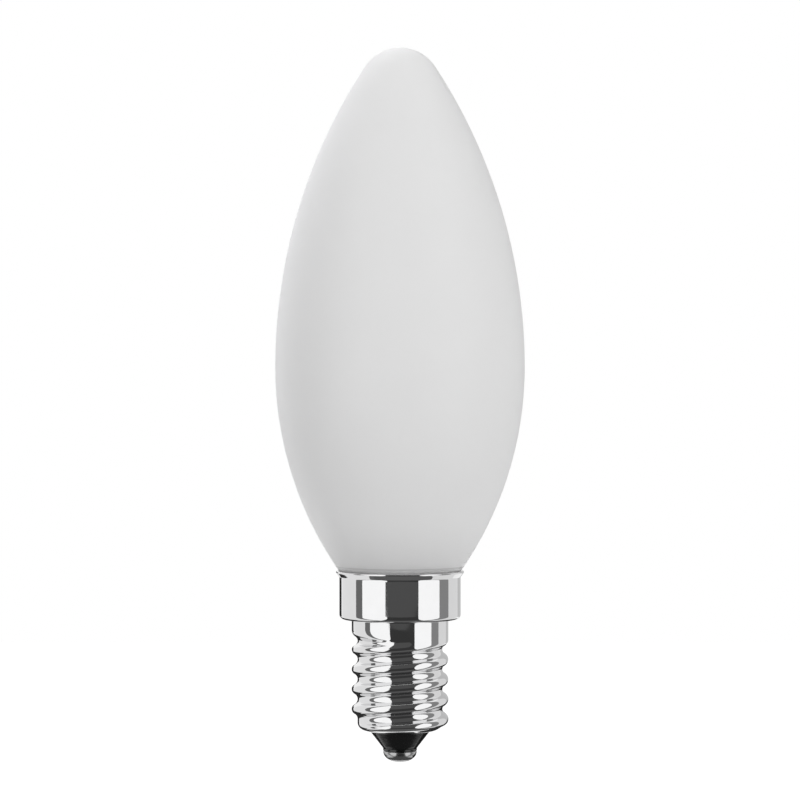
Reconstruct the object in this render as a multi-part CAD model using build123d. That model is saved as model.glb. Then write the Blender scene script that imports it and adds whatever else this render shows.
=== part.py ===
from build123d import *
import os
from math import ceil, cos, pi, radians, sin, sqrt

# A candle-shaped lamp with a screw cap. Sizes are in millimetres. The origin is the lowest point of the
# centre contact and +Z runs up the axis to the tip of the glass. Heights stack from the contact upwards.

# Centre contact: a domed plate with a short shank
contact_diameter = 4.72
contact_dome = 1.45
contact_edge = 0.2
shank_diameter = 2.4
shank_length = 2.5

# Insulator: a black glass cone, moulded into the bottom of the shell
collar_diameter = 4.78
collar_height = 0.45
cone_tip_diameter = 5.04
cone_height = 2.38
insulator_diameter = 8.6  # where it comes out of the shell
plug_height = 3.0  # of the part inside the shell
seat_gap = 0.03  # between the glass and the metal that it is moulded to

# Screw cap: one drawn sheet with a rolled right-hand thread
sheet = 0.25
bowl_height = 1.2  # of the rounded bottom
barrel_height = 15.86  # from the bottom to the shoulder
thread_diameter = 13.72  # over the crests
thread_pitch = 2.822
thread_depth = 0.84
first_crest = 1.65  # above the bottom, on the +X side
lead_in = 0.2  # height of the crest above the bottom where the ridge starts to rise
lead_in_rise = 0.6  # height that the crest climbs until the ridge has its full depth
neck_height = 2.09  # from the shoulder down to where the last groove has died away
run_out = 0.65  # height that the groove climbs while it fills up
sink_rise = 1.3  # height that it climbs while it sinks towards the ridge below
groove_sink = 0.2  # share of the pitch that it sinks by
groove_lean = 0.7  # how much steeper its upper edge gets, from 0 to 1
skirt_diameter = 17.22
skirt_height = 6.84  # from the shoulder to the lip's edge
shoulder_corner = 0.65
lip_height = 0.95
lip_flare = 0.48  # how far the lip stands out from the skirt

# Glass: a blown envelope, its neck cemented into the skirt
cement_gap = 0.3  # round the neck
lip_gap = 0.16  # between the glass and the lip's edge
neck_edge = 0.6  # rounding of the neck's rim
neck_fillet = 1.2  # between the neck and the flank
belly_diameter = 35.4
belly_rise = 28.92  # from the lip's edge to the widest ring
tip_rise = 45.3  # from the widest ring to the tip
tip_radius = 6.0

# Finish of the curves: sections of the rolled barrel in each pitch, and points in each section
sections_per_pitch = 10
section_points = 24
bowl_angles = range(15, 85, 10)  # where sections cross the rounded bottom, in degrees from its lowest point

# Heights where one piece ends and the next begins
insulator_z = contact_dome + contact_edge
cone_z = insulator_z + collar_height
shell_z = cone_z + cone_height
bowl_z = shell_z + bowl_height
shoulder_z = shell_z + barrel_height
neck_z = shoulder_z - neck_height
lip_z = shoulder_z + skirt_height
belly_z = lip_z + belly_rise
tip_z = belly_z + tip_rise

# Radii that several pieces share
shank_radius = shank_diameter / 2
insulator_radius = insulator_diameter / 2
crest_radius = thread_diameter / 2
root_radius = crest_radius - thread_depth
bore_radius = root_radius - sheet
hole_radius = insulator_radius + seat_gap
skirt_radius = skirt_diameter / 2
skirt_bore = skirt_radius - sheet
lip_radius = skirt_radius + lip_flare


def turned(*outline):
    """Solid of revolution about Z of a closed outline, drawn as radius and height"""
    return revolve(Plane.XZ * make_face(outline), Axis.Z)


def ease(share):
    """Smooth step from 0 at 0 to 1 at 1"""
    share = min(max(share, 0), 1)
    return share**2 * (3 - 2 * share)


def ridge(offset):
    """Height of the thread at an axial distance from the nearest crest: equal arcs that meet half-way up"""
    arc = ((thread_pitch / 4) ** 2 + (thread_depth / 2) ** 2) / thread_depth
    if offset < thread_pitch / 4:
        return thread_depth - arc + sqrt(arc**2 - offset**2)
    return arc - sqrt(arc**2 - (thread_pitch / 2 - offset) ** 2)


def barrel_radius(angle, z):
    """Radius of the rolled barrel: a ridge that winds up with the angle, on a root that closes to the hole.
    Along its helix the ridge first grows from nothing; its last groove sinks towards the ridge below it,
    with a steeper edge above, and fills up to the neck"""
    turns = (z - shell_z - first_crest) / thread_pitch - angle / (2 * pi)
    crest_z = z - (turns - round(turns)) * thread_pitch
    groove_z = z + (0.5 - turns % 1) * thread_pitch
    risen = ease((crest_z - shell_z - lead_in) / lead_in_rise)
    filled = ease((groove_z - neck_z + run_out) / run_out)
    sunk = ease((groove_z - neck_z + sink_rise) / sink_rise)
    middle = 0.5 - groove_sink * sunk
    if turns % 1 < middle:
        share = turns % 1 / middle
    else:
        share = 1 - ((turns % 1 - middle) / (1 - middle)) ** (1 - groove_lean * sunk)
    height = ridge(share * thread_pitch / 2)
    radius = root_radius + risen * (height + filled * (thread_depth - height))
    if z < bowl_z:
        radius = hole_radius + (radius - hole_radius) * sqrt(1 - ((bowl_z - z) / bowl_height) ** 2)
    return radius


def barrel_section(z):
    """Closed outline of the barrel at one height"""
    angles = [2 * pi * i / section_points for i in range(section_points)]
    radii = [barrel_radius(angle, z) for angle in angles]
    points = [(r * cos(angle), r * sin(angle), z) for r, angle in zip(radii, angles)]
    return Wire([Edge.make_spline(points, periodic=True)])


def rolled_barrel():
    """Solid outside of the bottom, the thread and the neck, up to the middle of the shoulder's sheet"""
    top = shoulder_z + sheet / 2
    steps = ceil((top - bowl_z) / thread_pitch * sections_per_pitch)
    heights = [bowl_z - bowl_height * cos(radians(angle)) for angle in bowl_angles]
    heights += [bowl_z + (top - bowl_z) * i / steps for i in range(steps + 1)]
    return Solid.make_loft([barrel_section(z) for z in heights])


def screw_cap_shell():
    lip_start = lip_z - lip_height
    wall = Line((skirt_radius, shoulder_z + shoulder_corner), (skirt_radius, lip_start))
    skirt = turned(
        Line((0, shoulder_z), (skirt_radius - shoulder_corner, shoulder_z)),
        TangentArc((skirt_radius - shoulder_corner, shoulder_z), wall @ 0, tangent=(1, 0)),
        wall,
        TangentArc(wall @ 1, (lip_radius, lip_z), tangent=(0, 1)),
        Polyline((lip_radius, lip_z), (0, lip_z), (0, shoulder_z)),
    )
    floor_z = shoulder_z + sheet
    inner_corner = shoulder_corner - sheet
    neck_bore = crest_radius - sheet
    bore_wall = Line((skirt_bore, floor_z + inner_corner), (skirt_bore, lip_start))
    inside = turned(
        Polyline(
            (0, 0),
            (hole_radius, 0),
            (hole_radius, shell_z + sheet),
            (bore_radius, bowl_z - sheet),
            (bore_radius, neck_z),
            (neck_bore, neck_z + thread_depth),
            (neck_bore, floor_z),
            (skirt_bore - inner_corner, floor_z),
        ),
        TangentArc((skirt_bore - inner_corner, floor_z), bore_wall @ 0, tangent=(1, 0)),
        bore_wall,
        TangentArc(bore_wall @ 1, (lip_radius - sheet, lip_z), tangent=(0, 1)),
        Polyline((lip_radius - sheet, lip_z), (lip_radius - sheet, belly_z), (0, belly_z), (0, 0)),
    )
    return skirt + rolled_barrel() - inside


def glass_envelope():
    seat_z = shoulder_z + sheet
    neck_radius = skirt_bore - cement_gap
    belly_radius = belly_diameter / 2
    mouth_radius = lip_radius - sheet - lip_gap
    # the lower flank leaves the belly upright, passes the lip at the mouth's radius and ends at the neck
    taper = belly_radius - mouth_radius
    lower_arc = (belly_rise**2 + taper**2) / (2 * taper)
    flank_z = belly_z - sqrt(lower_arc**2 - (lower_arc - belly_radius + neck_radius) ** 2)
    # the upper flank leaves the belly upright and runs into the round tip
    dome_rise = tip_rise - tip_radius
    upper_arc = (belly_radius**2 + dome_rise**2 - tip_radius**2) / (2 * (belly_radius - tip_radius))
    share = tip_radius / (upper_arc - tip_radius)
    touch = (share * (upper_arc - belly_radius), tip_z - tip_radius + share * dome_rise)
    flank = TangentArc((belly_radius, belly_z), touch, tangent=(0, 1))
    outline = make_face(
        [
            Polyline((0, tip_z), (0, seat_z), (neck_radius, seat_z), (neck_radius, flank_z)),
            TangentArc((belly_radius, belly_z), (neck_radius, flank_z), tangent=(0, -1)),
            flank,
            TangentArc(touch, (0, tip_z), tangent=flank % 1),
        ]
    )
    for corner, radius in (((neck_radius, flank_z), neck_fillet), ((neck_radius, seat_z), neck_edge)):
        outline = fillet(outline.vertices().sort_by_distance(corner)[0], radius)
    return revolve(Plane.XZ * outline, Axis.Z)


def insulator():
    plug_radius = bore_radius - seat_gap
    wire_hole = shank_radius + seat_gap
    return turned(
        Polyline(
            (wire_hole, insulator_z),
            (collar_diameter / 2, insulator_z),
            (collar_diameter / 2, cone_z),
            (cone_tip_diameter / 2, cone_z),
            (insulator_radius, shell_z),
            (insulator_radius, shell_z + sheet),
            (plug_radius, bowl_z - sheet),
            (plug_radius, shell_z + plug_height),
            (wire_hole, shell_z + plug_height),
            close=True,
        )
    )


def centre_contact():
    radius = contact_diameter / 2
    shank_top = insulator_z + shank_length
    return turned(
        EllipticalCenterArc((0, contact_dome), radius, contact_dome, start_angle=270, arc_size=90),
        Polyline(
            (radius, contact_dome),
            (radius, insulator_z),
            (shank_radius, insulator_z),
            (shank_radius, shank_top),
            (0, shank_top),
            (0, 0),
        ),
    )


os.makedirs("parts", exist_ok=True)
for piece in (centre_contact, insulator, screw_cap_shell, glass_envelope):
    export_step(piece(), f"parts/{piece.__name__}.step")
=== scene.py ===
import bpy
import numpy as np
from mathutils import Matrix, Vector


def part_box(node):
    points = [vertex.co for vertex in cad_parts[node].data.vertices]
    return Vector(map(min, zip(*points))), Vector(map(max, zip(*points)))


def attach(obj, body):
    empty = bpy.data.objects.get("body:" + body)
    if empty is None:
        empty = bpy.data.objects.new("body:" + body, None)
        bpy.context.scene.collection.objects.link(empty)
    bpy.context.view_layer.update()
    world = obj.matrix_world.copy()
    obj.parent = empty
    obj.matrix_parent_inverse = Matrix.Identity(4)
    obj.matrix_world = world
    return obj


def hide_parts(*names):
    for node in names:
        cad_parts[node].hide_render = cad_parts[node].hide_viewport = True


# A candle-shaped lamp, put together from its lowest point upwards. Sizes are in metres.
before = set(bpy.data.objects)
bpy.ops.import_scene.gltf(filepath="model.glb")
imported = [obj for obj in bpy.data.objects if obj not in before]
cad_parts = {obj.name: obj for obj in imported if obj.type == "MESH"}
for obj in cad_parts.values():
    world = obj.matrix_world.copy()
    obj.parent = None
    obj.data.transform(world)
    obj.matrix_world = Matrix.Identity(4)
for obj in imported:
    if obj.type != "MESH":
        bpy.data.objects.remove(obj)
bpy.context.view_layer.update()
mm = 0.001

# Centre contact
# The plate that meets the holder's spring: a disc of plated brass, pressed to a low dome, with a
# shank that is held in the black glass above it.
contact_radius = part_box("centre_contact")[1].x
contact_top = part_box("insulator")[0].z
contact_dome = 1.45 * mm
contact_edge = 0.16 * mm
shank_radius = 1.2 * mm
shank_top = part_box("centre_contact")[1].z
contact_grey = (0.40, 0.40, 0.40)
contact_light = (0.52, 0.52, 0.52)
contact_patch = 0.9 * mm
contact_grain = 0.08 * mm
contact_grain_depth = 0.002 * mm
columns = 256  # points round the axis


def straight(start, end, step=0.25 * mm):
    """Points on a line, end left out: the start plus even shares of the way, about a step apart."""
    start, end = np.array(start), np.array(end)
    count = int(np.ceil(np.linalg.norm(end - start) / step))
    return start + np.arange(count)[:, None] / count * (end - start)


def arc(centre, radii, first, last, step=0.05 * mm, widest=5):
    """Points on a circle or an ellipse, end left out: the centre plus the radius or radii times the
    cosine and sine of an even turn, about a step or so many degrees apart, whichever is finer."""
    turn = np.radians(last - first)
    count = int(np.ceil(max(abs(turn) * np.max(radii) / step, abs(turn) / np.radians(widest))))
    angle = np.radians(first) + np.arange(count) / count * turn
    return np.array(centre) + np.array(radii) * np.stack([np.cos(angle), np.sin(angle)], 1)


def turned(outline):
    """Grid of a turned surface: the outline's radius times the cosine and sine of each column's
    angle, at the outline's height."""
    angle = np.linspace(0, 2 * np.pi, columns, endpoint=False)
    radius, height = outline[:, :1], outline[:, 1:]
    return np.stack([radius * np.cos(angle), radius * np.sin(angle), height + 0 * angle], -1)


def skin(name, grid, ring):
    """Quads between neighbours of a grid whose columns go round. A ring's last row joins its first;
    otherwise the first and last rows lie on the axis, and each is one point with a fan of triangles."""
    points = grid.reshape(-1, 3)
    index = np.arange(len(points)).reshape(-1, columns)
    if ring:
        index = np.vstack([index, index[:1]])
    else:
        points = points[columns - 1 : 1 - columns]
        index = np.clip(index - columns + 1, 0, len(points) - 1)
    beside = np.roll(index, -1, 1)
    quads = np.stack([index[:-1], beside[:-1], beside[1:], index[1:]], -1).reshape(-1, 4)
    faces = quads.tolist()
    if not ring:
        faces[:columns] = quads[:columns, [0, 2, 3]].tolist()
        faces[-columns:] = quads[-columns:, :3].tolist()
    mesh = bpy.data.meshes.new(name)
    mesh.from_pydata(points, [], faces)
    mesh.polygons.foreach_set("use_smooth", np.ones(len(faces), bool))
    mesh.update()
    return mesh


class Socket:
    """An output in a node tree. Arithmetic on it adds Math nodes, and node() adds any other node."""

    def __init__(self, tree, output):
        self.tree = tree
        self.output = output

    def node(self, kind, settings, values, output=0):
        """One output of a new node, with its settings made and then its sockets set or linked."""
        made = self.tree.nodes.new(kind)
        for key, value in settings.items():
            setattr(made, key, value)
        for key, value in values.items():
            if isinstance(value, Socket):
                self.tree.links.new(value.output, made.inputs[key])
            else:
                made.inputs[key].default_value = value
        return Socket(self.tree, made.outputs[output])

    def math(self, operation, first, second):
        return self.node("ShaderNodeMath", {"operation": operation}, {0: first, 1: second})

    def __add__(self, other):
        return self.math("ADD", self, other)

    def __sub__(self, other):
        return self.math("SUBTRACT", self, other)

    def __rsub__(self, other):
        return self.math("SUBTRACT", other, self)

    def __mul__(self, other):
        return self.math("MULTIPLY", self, other)

    __radd__ = __add__
    __rmul__ = __mul__

    def noise(self, size, detail=2.0, stretch=(1, 1, 1)):
        """Soft noise of about 0 to 1, in spots of a size that the stretch divides along each axis."""
        placed = self.node("ShaderNodeMapping", {}, {"Vector": self, "Scale": stretch})
        spots = {"Vector": placed, "Scale": 1 / size, "Detail": detail}
        return self.node("ShaderNodeTexNoise", {}, spots)

    def shade(self, dark, light):
        """Colour from dark at 0 to light at 1."""
        colours = {"Factor": self, 6: (*dark, 1), 7: (*light, 1)}
        return self.node("ShaderNodeMix", {"data_type": "RGBA"}, colours, output=2)

    def bump(self, depth):
        """Surface normal of a relief whose height runs from 0 to depth."""
        return self.node("ShaderNodeBump", {}, {"Height": self, "Strength": 1.0, "Distance": depth})

    def feed(self, shader, name):
        """Links this output to a socket of a shader."""
        self.tree.links.new(self.output, shader.inputs[name])


def finish(name, constants):
    """A Principled material with its even values set, then its shader and its Object coordinates."""
    material = bpy.data.materials.new(name)
    material.use_nodes = True
    tree = material.node_tree
    shader = tree.nodes["Principled BSDF"]
    for key, value in constants.items():
        shader.inputs[key].default_value = value
    coordinates = tree.nodes.new("ShaderNodeTexCoord")
    return material, shader, Socket(tree, coordinates.outputs["Object"])


def fit(mesh, material, node):
    """Sets a finished piece in the place of its node, on the lamp's one body."""
    piece = bpy.data.objects.new(mesh.name, mesh)
    bpy.context.scene.collection.objects.link(piece)
    mesh.materials.append(material)
    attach(piece, "root")
    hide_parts(node)


def contact_plate():
    """Satin plated metal with duller patches and a fine grain."""
    material, shader, place = finish("contact plate", {"Metallic": 1.0})
    dull = place.noise(contact_patch)
    grain = place.noise(contact_grain)
    dull.shade(contact_grey, contact_light).feed(shader, "Base Color")
    (0.14 + 0.14 * dull).feed(shader, "Roughness")
    grain.bump(contact_grain_depth).feed(shader, "Normal")
    return material


contact_outline = np.concatenate([
    arc((0, contact_dome), (contact_radius, contact_dome), -90, 0),
    straight((contact_radius, contact_dome), (contact_radius, contact_top - contact_edge)),
    arc((contact_radius - contact_edge, contact_top - contact_edge), contact_edge, 0, 90),
    straight((contact_radius - contact_edge, contact_top), (shank_radius, contact_top)),
    [(shank_radius, contact_top), (shank_radius, shank_top), (0, shank_top)],
])
contact_mesh = skin("contact_disc", turned(contact_outline), ring=False)
fit(contact_mesh, contact_plate(), "centre_contact")

# Insulator
# Black glass, poured round the shank into the bottom of the shell and moulded to a cone, with a
# narrow collar that the contact sits against.
collar_radius = 2.39 * mm
collar_height = 0.45 * mm
cone_tip_radius = 2.52 * mm
cone_height = 2.38 * mm
insulator_radius = 4.3 * mm  # where it comes out of the shell
plug_rise = 0.95 * mm  # from there up to where the plug fills the shell
plug_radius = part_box("insulator")[1].x
plug_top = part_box("insulator")[1].z
wire_hole = 1.23 * mm
moulded_edge = 0.09 * mm
sheet = 0.25 * mm  # thickness of the shell round it
black_deep = (0.001, 0.001, 0.001)
black_pale = (0.003, 0.003, 0.003)
black_cloud = 0.7 * mm
ripple_size = 0.5 * mm
ripple_depth = 0.010 * mm

cone_tip_z = contact_top + collar_height
shell_z = cone_tip_z + cone_height
plug_z = shell_z + plug_rise
cone_slope = np.degrees(np.arctan2(shell_z - cone_tip_z, insulator_radius - cone_tip_radius))


def black_glass():
    """Opaque black glass, fire-polished: glossy, with a shallow ripple from the mould."""
    material, shader, place = finish("black glass", {"IOR": 1.6})
    cloud = place.noise(black_cloud)
    ripple = place.noise(ripple_size, detail=1.0)
    cloud.shade(black_deep, black_pale).feed(shader, "Base Color")
    (0.12 + 0.14 * cloud).feed(shader, "Roughness")
    ripple.bump(ripple_depth).feed(shader, "Normal")
    return material


insulator_outline = np.concatenate([
    [(wire_hole, contact_top)],
    arc((collar_radius - moulded_edge, contact_top + moulded_edge), moulded_edge, -90, 0),
    straight((collar_radius, contact_top + moulded_edge), (collar_radius, cone_tip_z)),
    arc((cone_tip_radius - moulded_edge, cone_tip_z + moulded_edge), moulded_edge, -90, cone_slope - 90),
    straight((cone_tip_radius, cone_tip_z + moulded_edge), (insulator_radius, shell_z)),
    straight((insulator_radius, shell_z), (insulator_radius, shell_z + sheet)),
    [
        (insulator_radius, shell_z + sheet),
        (plug_radius, plug_z),
        (plug_radius, plug_top),
        (wire_hole, plug_top),
    ],
])
insulator_mesh = skin("insulator_cone", turned(insulator_outline), ring=True)
fit(insulator_mesh, black_glass(), "insulator")

# Screw cap
# One drawn sheet of nickel-plated brass. Its barrel is rolled to a right-hand round thread, which
# starts on the rounded bottom and ends in a plain neck; the skirt above it ends in a flared lip.
bowl_height = 1.2 * mm
barrel_height = 15.86 * mm
thread_pitch = 2.822 * mm
thread_depth = 0.84 * mm
crest_radius = 6.86 * mm
first_crest = 1.65 * mm
lead_in = 0.2 * mm
lead_in_rise = 0.6 * mm
neck_height = 2.09 * mm
run_out = 0.65 * mm
sink_rise = 1.3 * mm
groove_sink = 0.2
groove_lean = 0.7
skirt_radius = 8.61 * mm
shoulder_corner = 0.65 * mm
shoulder_root = 0.16 * mm
lip_height = 0.95 * mm
lip_edge = 0.18 * mm
lip_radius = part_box("screw_cap_shell")[1].x
lip_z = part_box("screw_cap_shell")[1].z
flare_bend = 0.2 * mm
seat_gap = 0.03 * mm  # between the black glass and the metal that it is moulded to
hole_edge = 0.05 * mm
bowl_turns = np.radians(np.arange(-88, 0, 3))  # rows of points on the rounded bottom
thread_step = 0.07 * mm  # between rows of points on the thread
flare_step = 0.1 * mm
lip_step = 0.02 * mm
sealed_step = 0.25 * mm  # on the round corner inside, which the glass neck covers
sealed_turn = 30
plate_grey = (0.77, 0.77, 0.775)
plate_bright = (0.82, 0.82, 0.825)
haze_size = 1.6 * mm
haze_depth = 0.001 * mm
line_size = 0.5 * mm
line_stretch = (1, 1, 12)

root_radius = crest_radius - thread_depth
hole_radius = insulator_radius + seat_gap
bowl_z = shell_z + bowl_height
shoulder_z = shell_z + barrel_height
neck_z = shoulder_z - neck_height
skirt_floor_z = shoulder_z + sheet
lip_start = lip_z - lip_height
inner_corner = shoulder_corner - sheet
inner_centre = (skirt_radius - shoulder_corner, skirt_floor_z + inner_corner)


def ease(share):
    """Smooth step from 0 at 0 to 1 at 1: three times the square minus twice the cube."""
    share = np.clip(share, 0, 1)
    return share**2 * (3 - 2 * share)


def barrel(heights):
    """Grid of the barrel: the root plus a ridge of equal arcs for crest and groove, wound up by one
    pitch a turn, times the cosine and sine of the angle. The bottom draws it in to the hole along an
    ellipse. Along the helix the ridge first rises from nothing; its last groove sinks towards the
    ridge below it, with a steeper edge above, and fills up to the neck."""
    angle, height = np.meshgrid(np.linspace(0, 2 * np.pi, columns, endpoint=False), heights)
    turns = (height - shell_z - first_crest) / thread_pitch - angle / (2 * np.pi)
    crest_z = height - (turns - np.round(turns)) * thread_pitch
    groove_z = height + (0.5 - turns % 1) * thread_pitch
    risen = ease((crest_z - shell_z - lead_in) / lead_in_rise)
    filled = ease((groove_z - neck_z + run_out) / run_out)
    sunk = ease((groove_z - neck_z + sink_rise) / sink_rise)
    middle = 0.5 - groove_sink * sunk
    above = (np.maximum(turns % 1 - middle, 0) / (1 - middle)) ** (1 - groove_lean * sunk)
    below = np.maximum(middle - turns % 1, 0) / middle
    offset = (1 - above - below) * thread_pitch / 2
    bend = ((thread_pitch / 4) ** 2 + (thread_depth / 2) ** 2) / thread_depth
    crest = thread_depth - bend + np.sqrt(bend**2 - np.minimum(offset, thread_pitch / 4) ** 2)
    groove = bend - np.sqrt(bend**2 - np.minimum(thread_pitch / 2 - offset, thread_pitch / 4) ** 2)
    wave = np.where(offset < thread_pitch / 4, crest, groove)
    radius = root_radius + risen * (wave + filled * (thread_depth - wave))
    drawn_in = np.sqrt(1 - np.clip((bowl_z - height) / bowl_height, 0, 1) ** 2)
    radius = hole_radius + (radius - hole_radius) * drawn_in
    return np.stack([radius * np.cos(angle), radius * np.sin(angle), height], -1)


def nickel_plate():
    """Bright nickel over drawn brass: nearly a mirror, a little hazy in fine lines round the axis."""
    material, shader, place = finish("nickel plate", {"Metallic": 1.0})
    haze = place.noise(haze_size, detail=3.0)
    lines = place.noise(line_size, stretch=line_stretch)
    haze.shade(plate_grey, plate_bright).feed(shader, "Base Color")
    (0.02 + 0.08 * haze * lines).feed(shader, "Roughness")
    haze.bump(haze_depth).feed(shader, "Normal")
    return material


# the flare bends out of the skirt, then runs straight to where it touches the lip's round edge
flare_centre = np.array([skirt_radius + flare_bend, lip_start])
edge_centre = np.array([lip_radius - lip_edge, lip_z - lip_edge])
flare_out, flare_up = edge_centre - flare_centre
flare_reach = np.hypot(flare_out, flare_up)
flare_lean = np.arctan2(flare_out, flare_up) + np.arcsin((flare_bend + lip_edge) / flare_reach)
flare_turn = np.degrees(flare_lean)
flare_side = np.array([np.cos(flare_lean), -np.sin(flare_lean)])
hole_rim = arc((hole_radius + hole_edge, shell_z + hole_edge), hole_edge, 180, 270)
barrel_heights = np.concatenate([
    bowl_z + bowl_height * np.sin(bowl_turns),
    np.arange(bowl_z, shoulder_z - shoulder_root, thread_step),
])
skirt_and_inside = np.concatenate([
    arc((crest_radius + shoulder_root, shoulder_z - shoulder_root), shoulder_root, 180, 90),
    straight((crest_radius + shoulder_root, shoulder_z), (skirt_radius - shoulder_corner, shoulder_z)),
    arc((skirt_radius - shoulder_corner, shoulder_z + shoulder_corner), shoulder_corner, -90, 0),
    straight((skirt_radius, shoulder_z + shoulder_corner), (skirt_radius, lip_start)),
    arc(flare_centre, flare_bend, 180, 180 - flare_turn),
    straight(flare_centre - flare_bend * flare_side, edge_centre + lip_edge * flare_side, flare_step),
    arc(edge_centre, lip_edge, -flare_turn, 180 - flare_turn, lip_step),
    arc(flare_centre, flare_bend + sheet, 180 - flare_turn, 180),
    [(skirt_radius - sheet, lip_start)],
    arc(inner_centre, inner_corner, 0, -90, sealed_step, sealed_turn),
    [
        (skirt_radius - shoulder_corner, skirt_floor_z),
        (crest_radius - sheet, skirt_floor_z),
        (crest_radius - sheet, neck_z + thread_depth),
        (root_radius - sheet, neck_z),
        (root_radius - sheet, bowl_z - sheet),
        (hole_radius, shell_z + sheet),
    ],
])
shell_grid = np.concatenate([turned(hole_rim), barrel(barrel_heights), turned(skirt_and_inside)])
shell_mesh = skin("screw_cap", shell_grid, ring=True)
fit(shell_mesh, nickel_plate(), "screw_cap_shell")

# Glass envelope
# One blown bulb, etched to a satin white, so that its wall spreads the light and hides what is in
# it. Its neck is cemented into the skirt, a little below the lip.
glass_low, glass_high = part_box("glass_envelope")
belly_radius = glass_high.x
belly_rise = 28.92 * mm  # from the lip's edge to the widest ring
tip_z = glass_high.z
tip_radius = 6.0 * mm
neck_edge = 0.6 * mm
neck_fillet = 1.2 * mm
cement_gap = 0.3 * mm
lip_gap = 0.16 * mm  # between the glass and the lip's edge
painted_shade_reach = 8 * mm  # how far up the painted shade for the dark inside of the cap reaches
shade_line_rise = 0.62 * mm  # from the lip up to a thin painted dark line, painted shade where the glass meets the cap
shade_line_width = 0.16 * mm
glass_step = 0.4 * mm
tip_step = 0.2 * mm
light_spread = 5 * mm
# dark end of the glass's colour, which the painted shade near the neck and the painted dark line above
# the lip pull towards
frost_shade_grey = (0.45, 0.45, 0.45)
frost_white = (0.82, 0.82, 0.82)
frost_cloud = 9 * mm
frost_grain = 0.16 * mm
frost_grain_depth = 0.004 * mm

belly_z = lip_z + belly_rise
neck_radius = skirt_radius - sheet - cement_gap
mouth_radius = lip_radius - sheet - lip_gap
shade_line_z = lip_z + shade_line_rise


def frosted_glass():
    """Acid-etched white glass: a satin gloss over a body that light spreads in, with a fine grain.
    Near the neck its colour is darkened, a painted shade for the dark inside of the cap, and a thin
    painted dark line just above the lip stands for shade where the glass meets the cap."""
    constants = {
        "IOR": 1.5,
        "Subsurface Weight": 1.0,
        "Subsurface Radius": (1.0, 1.0, 1.0),
        "Subsurface Scale": light_spread,
    }
    material, shader, place = finish("frosted glass", constants)
    height = place.node("ShaderNodeSeparateXYZ", {}, {"Vector": place}, output="Z")
    # painted shade: the colour darkens from this reach above the lip down to the lip, for the dark
    # inside of the cap
    painted_neck_range = {"Value": height, "From Min": lip_z, "From Max": lip_z + painted_shade_reach}
    out_of_painted_shade = place.node("ShaderNodeMapRange", {"interpolation_type": "SMOOTHSTEP"}, painted_neck_range)
    # painted shade: a thin dark line round the glass just above the lip
    off_shade_line = height.math("ABSOLUTE", height - shade_line_z, 0)
    at_shade_line = {"Value": off_shade_line, "From Max": shade_line_width, "To Min": 1, "To Max": 0}
    shade_line = place.node("ShaderNodeMapRange", {}, at_shade_line)
    cloud = place.noise(frost_cloud, detail=1.0)
    grain = place.noise(frost_grain, detail=3.0)
    # the glass's own faint cloud, less the painted shade near the neck and the painted dark line above
    # the lip
    whiteness_and_painted_shade = 0.77 + 0.19 * out_of_painted_shade + 0.04 * cloud - 0.45 * shade_line
    whiteness_and_painted_shade.shade(frost_shade_grey, frost_white).feed(shader, "Base Color")
    (0.46 + 0.10 * grain).feed(shader, "Roughness")
    grain.bump(frost_grain_depth).feed(shader, "Normal")
    return material


# the lower flank leaves the belly upright and passes the lip at the mouth's radius
taper = belly_radius - mouth_radius
lower_bend = ((belly_z - lip_z) ** 2 + taper**2) / (2 * taper)
lower_centre = (belly_radius - lower_bend, belly_z)
# the fillet touches the upright neck and the lower flank
fillet_r = neck_radius + neck_fillet
fillet_z = belly_z - np.sqrt((lower_bend + neck_fillet) ** 2 - (fillet_r - lower_centre[0]) ** 2)
fillet_turn = np.degrees(np.arctan2(belly_z - fillet_z, fillet_r - lower_centre[0]))
# the upper flank leaves the belly upright and runs into the round tip
dome_z = tip_z - tip_radius
dome_rise = dome_z - belly_z
upper_bend = (belly_radius**2 + dome_rise**2 - tip_radius**2) / (2 * (belly_radius - tip_radius))
upper_centre = (belly_radius - upper_bend, belly_z)
tip_turn = np.degrees(np.arctan2(dome_rise, upper_bend - belly_radius))
glass_outline = np.concatenate([
    [(0, glass_low.z)],
    straight((neck_radius - neck_edge, glass_low.z), (neck_radius - neck_edge / 2, glass_low.z)),
    arc((neck_radius - neck_edge, glass_low.z + neck_edge), neck_edge, -90, 0),
    straight((neck_radius, glass_low.z + neck_edge), (neck_radius, fillet_z), glass_step),
    arc((fillet_r, fillet_z), neck_fillet, 180, 180 - fillet_turn),
    arc(lower_centre, lower_bend, -fillet_turn, 0, glass_step),
    arc(upper_centre, upper_bend, 0, tip_turn, glass_step),
    arc((0, dome_z), tip_radius, tip_turn, 90, tip_step),
    [(0, tip_z)],
])
glass_mesh = skin("frosted_envelope", turned(glass_outline), ring=False)
fit(glass_mesh, frosted_glass(), "glass_envelope")

# Floor, lights and camera
# A pale floor well below the lamp in a white surround, soft boxes all round for the glass, and cards
# that show only in reflections and give the plated cap its stripes.
floor_level = -0.50
floor_half = 6.0
floor_tone = 0.8
floor_glow = 0.8  # of its own, which only the camera sees
surround = 0.35  # light of the white surround on the lamp
aim = Vector((0, 0, 51.4 * mm))
camera_distance = 0.40
field = 113.6 * mm  # width of the view at the lamp
card_centre = np.array([0, 0, lip_z / 2])
card_points = 24  # along each side of a card


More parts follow.
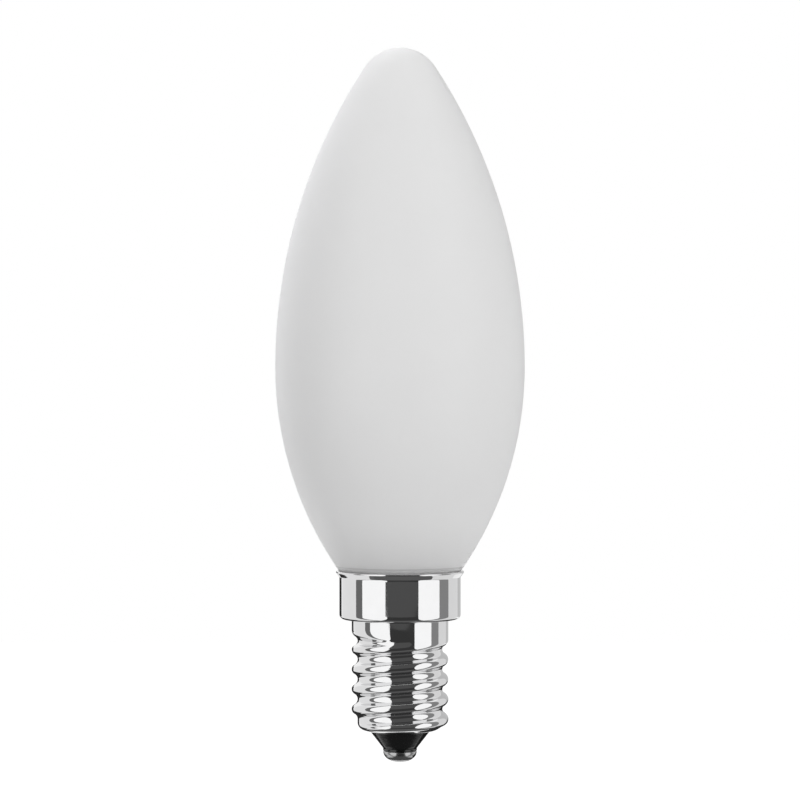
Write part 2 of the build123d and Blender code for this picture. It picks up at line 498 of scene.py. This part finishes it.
def stage_piece(name, points, faces, colour, glow):
    """Puts a mesh of the studio into the scene, in one even colour with a glow of its own."""
    mesh = bpy.data.meshes.new(name)
    mesh.from_pydata(points, [], faces)
    material = bpy.data.materials.new(name)
    material.use_nodes = True
    shader = material.node_tree.nodes["Principled BSDF"]
    shader.inputs["Base Color"].default_value = (colour, colour, colour, 1)
    shader.inputs["Specular IOR Level"].default_value = 0
    shader.inputs["Emission Color"].default_value = (1, 1, 1, 1)
    shader.inputs["Emission Strength"].default_value = glow
    mesh.materials.append(material)
    made = bpy.data.objects.new(name, mesh)
    bpy.context.scene.collection.objects.link(made)
    return made, shader


def strip(bottom, top, along):
    """Grid of two angles: shares of the way between two ends that move evenly from bottom to top,
    and even steps along the other angle."""
    ends = np.linspace(bottom, top, card_points)
    share = np.linspace(0, 1, card_points)
    side = ends[:, :1] + share * (ends[:, 1:] - ends[:, :1])
    return side, np.linspace(*along, card_points)[:, None] + 0 * side


def disc(centre, halves):
    """Grid of two angles in an ellipse: the centre plus a share of the halves times cosine and sine."""
    share, turn = np.meshgrid(np.linspace(0.01, 1, card_points), np.linspace(0, 2 * np.pi, card_points))
    return centre[0] + halves[0] * share * np.cos(turn), centre[1] + halves[1] * share * np.sin(turn)


def card(name, angles, tone, level=True, distance=1.5):
    """Patch of a sphere round the cap that only reflections see. A level card goes by azimuths from
    the camera's side and elevations, the others by angles off the middle plane and turns in it."""
    side, rise = np.radians(angles)
    if level:
        points = np.stack([np.sin(side) * np.cos(rise), -np.cos(side) * np.cos(rise), np.sin(rise)], -1)
    else:
        points = np.stack([np.sin(side), -np.cos(side) * np.cos(rise), np.cos(side) * np.sin(rise)], -1)
    points = distance * points + card_centre
    index = np.arange(card_points**2).reshape(card_points, card_points)
    quads = np.stack([index[:-1, :-1], index[1:, :-1], index[1:, 1:], index[:-1, 1:]], -1)
    made, _ = stage_piece(name, points.reshape(-1, 3), quads.reshape(-1, 4).tolist(), 0, tone)
    made.visible_camera = False
    made.visible_diffuse = False
    made.visible_shadow = False
    made.visible_transmission = False


# each card's angles, in degrees, and then its tone, where 1 is white
card("dark_band_high", strip((-27.5, 35), (-18.6, 36), (-4.6, 80)), 0.085, level=False, distance=1.3)
card("dark_band_low", strip((-27, 33.6), (-24, 34.5), (-55, -4.6)), 0.04, level=False, distance=1.3)
card("dark_band_floor", strip((-29, 33), (-27, 33.6), (-126, -55)), 0.11, level=False, distance=1.3)
card("left_box", disc((-47, 12), (30, 64)), 1.15, distance=1.4)
card("right_box", disc((57.5, 12), (23.5, 64)), 1.15, distance=1.4)
card("left_rim", disc((-50, 12), (43, 76)), 0.16)
card("right_rim", disc((64, 12), (42, 76)), 0.26)
card("left_wall", strip((-142, -88), (-142, -88), (-60, 40)), 0.88, distance=1.6)
card("right_wall", strip((100, 142), (100, 142), (-60, 40)), 0.80, distance=1.6)
card("far_wall", strip((142, 180), (142, 180), (-12, 40)), 0.58, distance=1.6)
card("left_floor", strip((-178, -60), (-160, -156), (-85, -30)), 0.05)
card("right_floor", strip((60, 178), (156, 160), (-85, -30)), 0.05)
card("left_front_floor", strip((-110, -15), (-110, -60), (-88, -58)), 0.14)
card("right_front_floor", strip((15, 110), (60, 110), (-88, -58)), 0.14)
card("left_back", strip((-172, -146), (-172, -150), (-10, 6)), 0.03)
card("left_under", strip((-170, -116), (-172, -153), (-40, -6)), 0.03, distance=0.08)
card("right_under", strip((106, 170), (152, 172), (-46, -9)), 0.03, distance=0.055)


def soft_box(name, place, size, light, tint):
    """Area lamp aimed at the lamp's middle. Its light there is a share of what an even white surround
    gives: the power is that share times pi squared times the square of the distance."""
    data = bpy.data.lights.new(name, "AREA")
    data.size = size
    data.color = tint
    reach = aim - Vector(place)
    data.energy = light * np.pi**2 * reach.length_squared
    lamp = bpy.data.objects.new(name, data)
    lamp.location = place
    lamp.rotation_euler = reach.to_track_quat("-Z", "Y").to_euler()
    lamp.visible_camera = False
    lamp.visible_glossy = False
    bpy.context.scene.collection.objects.link(lamp)


soft_box("front_lamp", (0.45, -1.0, 0.25), 0.6, 0.31, (1, 1, 1))
soft_box("high_lamp", (0.2, -0.8, 0.9), 0.6, 0.31, (1, 1, 1))
soft_box("side_lamp", (-1.0, -0.2, 0.2), 0.6, 0.14, (1, 1, 1))
soft_box("rim_lamp", (-0.5, 0.6, 0.7), 0.4, 0.56, (0.97, 0.97, 1))
soft_box("left_low_lamp", (-0.6, 0.5, -0.4), 0.4, 0.24, (1, 1, 1))
soft_box("right_low_lamp", (0.6, 0.5, -0.4), 0.4, 0.27, (1, 1, 1))

corner_signs = ((-1, -1), (1, -1), (1, 1), (-1, 1))
corners = [(x * floor_half, y * floor_half, floor_level) for x, y in corner_signs]
floor, floor_shader = stage_piece("floor", corners, [(0, 1, 2, 3)], floor_tone, 0)
floor.visible_glossy = False
floor_tree = floor.data.materials[0].node_tree
floor_path = floor_tree.nodes.new("ShaderNodeLightPath")
floor_seen = Socket(floor_tree, floor_path.outputs["Is Camera Ray"])
(floor_glow * floor_seen).feed(floor_shader, "Emission Strength")

world = bpy.data.worlds.new("white surround")
bpy.context.scene.world = world
world.use_nodes = True
background = world.node_tree.nodes["Background"]
background.inputs["Color"].default_value = (1, 1, 1, 1)
path = world.node_tree.nodes.new("ShaderNodeLightPath")
camera_ray, glossy_ray, through_ray = (
    Socket(world.node_tree, path.outputs[f"Is {kind} Ray"])
    for kind in ("Camera", "Glossy", "Transmission")
)
seen = camera_ray.math("MAXIMUM", camera_ray, glossy_ray + through_ray)
(surround + (1 - surround) * seen).feed(background, "Strength")

camera_data = bpy.data.cameras.new("camera")
camera_data.lens = camera_data.sensor_width * camera_distance / field
camera = bpy.data.objects.new("camera", camera_data)
camera.location = aim - Vector((0, camera_distance, 0))
camera.rotation_euler = (np.pi / 2, 0, 0)
bpy.context.scene.collection.objects.link(camera)
bpy.context.scene.camera = camera
bpy.context.scene.view_settings.view_transform = "Standard"
